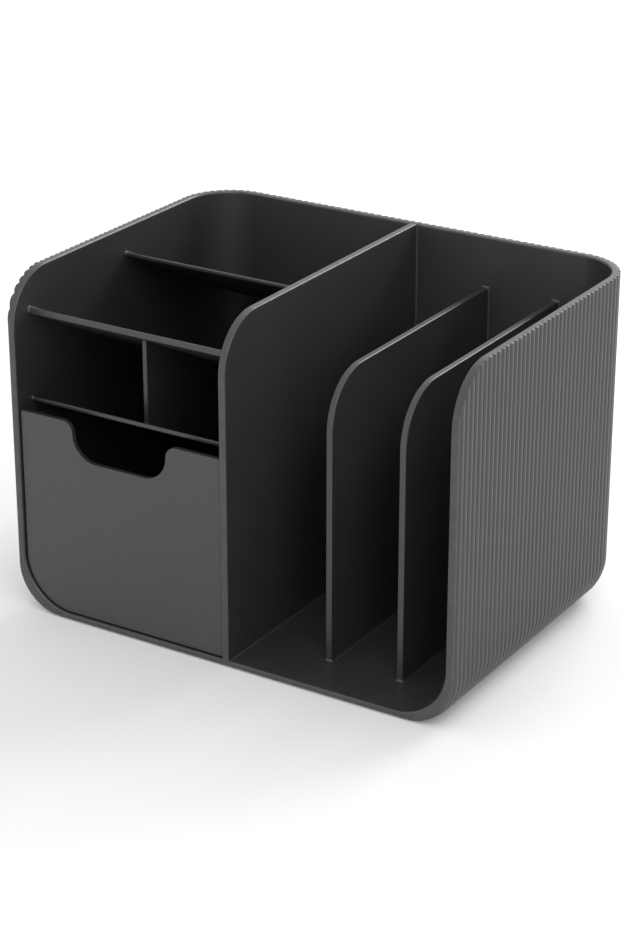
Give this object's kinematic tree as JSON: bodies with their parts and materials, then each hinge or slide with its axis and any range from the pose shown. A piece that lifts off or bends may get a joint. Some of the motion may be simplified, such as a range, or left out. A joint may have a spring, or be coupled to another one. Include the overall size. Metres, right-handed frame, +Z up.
{
  "type": "desk organiser with drawer",
  "caption": "Open desk organiser with a ribbed outer shell, upright file slots on one side, and sloping compartments over a sliding drawer on the other.",
  "frame": {"origin": "on the surface that the organiser stands on, under the middle of its outline", "axes": "+X to the right along the width, +Y from the open front to the back, +Z up"},
  "size_m": [0.2552, 0.1838, 0.1796],
  "materials": {
    "body_plastic": "fine matte moulded texture, dark neutral grey",
    "foot_rubber": "soft matt rubber, near black"
  },
  "bodies": {
    "housing": {"ribbed_shell": "body_plastic", "centre_divider": "body_plastic", "inner_file_divider": "body_plastic", "outer_file_divider": "body_plastic", "lower_sloping_floor": "body_plastic", "middle_sloping_floor": "body_plastic", "rear_sloping_floor": "body_plastic", "cell_divider": "body_plastic", "drawer_runner_left": "body_plastic", "drawer_runner_right": "body_plastic", "drawer_stop": "body_plastic", "foot_front_left": "foot_rubber", "foot_front_right": "foot_rubber", "foot_rear_left": "foot_rubber", "foot_rear_right": "foot_rubber"},
    "drawer": {"drawer_front": "body_plastic", "drawer_tray": "body_plastic"}
  },
  "joints": [
    {"name": "drawer_slide", "type": "slide", "parent": "housing", "child": "drawer", "axis": [0, -1, 0], "range_m": [0, 0.115]}
  ]
}
